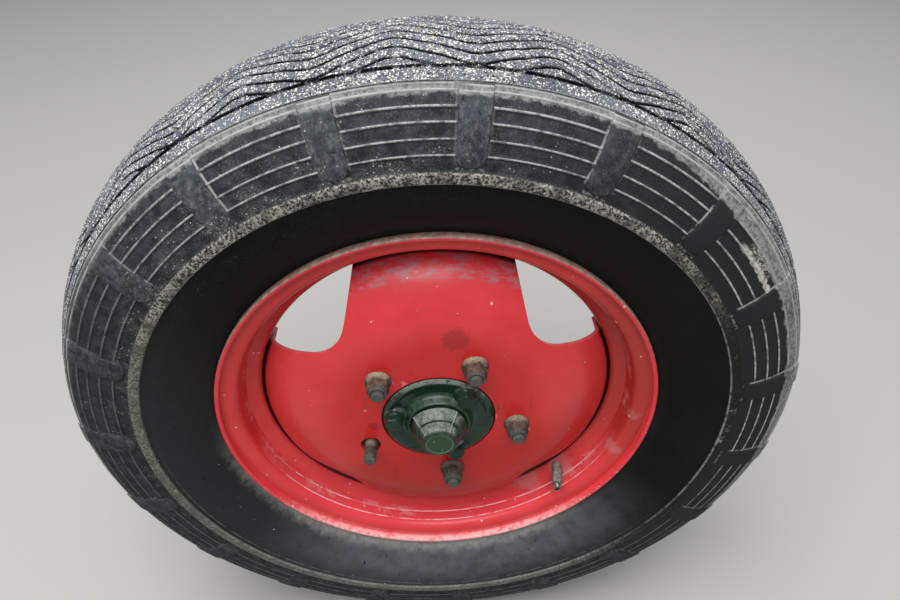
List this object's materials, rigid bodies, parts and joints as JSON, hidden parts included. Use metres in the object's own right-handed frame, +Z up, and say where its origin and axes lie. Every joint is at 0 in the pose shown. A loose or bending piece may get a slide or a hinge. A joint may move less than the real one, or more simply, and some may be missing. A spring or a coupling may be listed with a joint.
{
  "type": "tractor front wheel with hub and stub axle",
  "caption": "Steel disc front wheel with a worn ribbed tyre, turning on its hub and spindle, held by a stub axle with an upright king pin.",
  "frame": {"origin": "on the king pin's axis, on the top face of the thrust washer, where the axle's end sits", "axes": "+Z up along the king pin, +Y inboard along the wheel's axis, +X to the right seen from outside"},
  "size_m": [0.738, 0.2535, 0.738],
  "materials": {
    "rubber": "worn, dusty",
    "red_paint": "gloss, chipped and dusty",
    "green_paint": "gloss, dusty on top",
    "rusty_steel": "rusty",
    "valve_metal": "dull, worn",
    "seal_steel": "greasy",
    "bare_steel": "machined, oiled"
  },
  "bodies": {
    "knuckle": {"stub_axle": "green_paint", "king_pin": "bare_steel", "lock_pin": "bare_steel", "thrust_washer": "bare_steel"},
    "wheel": {"tyre": "rubber", "rim": "red_paint", "disc": "red_paint", "valve_stem": "valve_metal", "hub": "green_paint", "grease_seal": "seal_steel", "hub_cap": "green_paint", "cap_bolt_1": "green_paint", "cap_bolt_2": "green_paint", "cap_bolt_3": "green_paint", "wheel_stud_1": "rusty_steel", "wheel_stud_2": "rusty_steel", "wheel_stud_3": "rusty_steel", "wheel_stud_4": "rusty_steel", "wheel_stud_5": "rusty_steel", "wheel_nut_1": "rusty_steel", "wheel_nut_2": "rusty_steel", "wheel_nut_3": "rusty_steel", "wheel_nut_4": "rusty_steel"}
  },
  "joints": [
    {"name": "wheel_spin", "type": "hinge", "parent": "knuckle", "child": "wheel", "pos_m": [0, -0.125, -0.046], "axis": [0, 1, 0], "continuous": true}
  ]
}
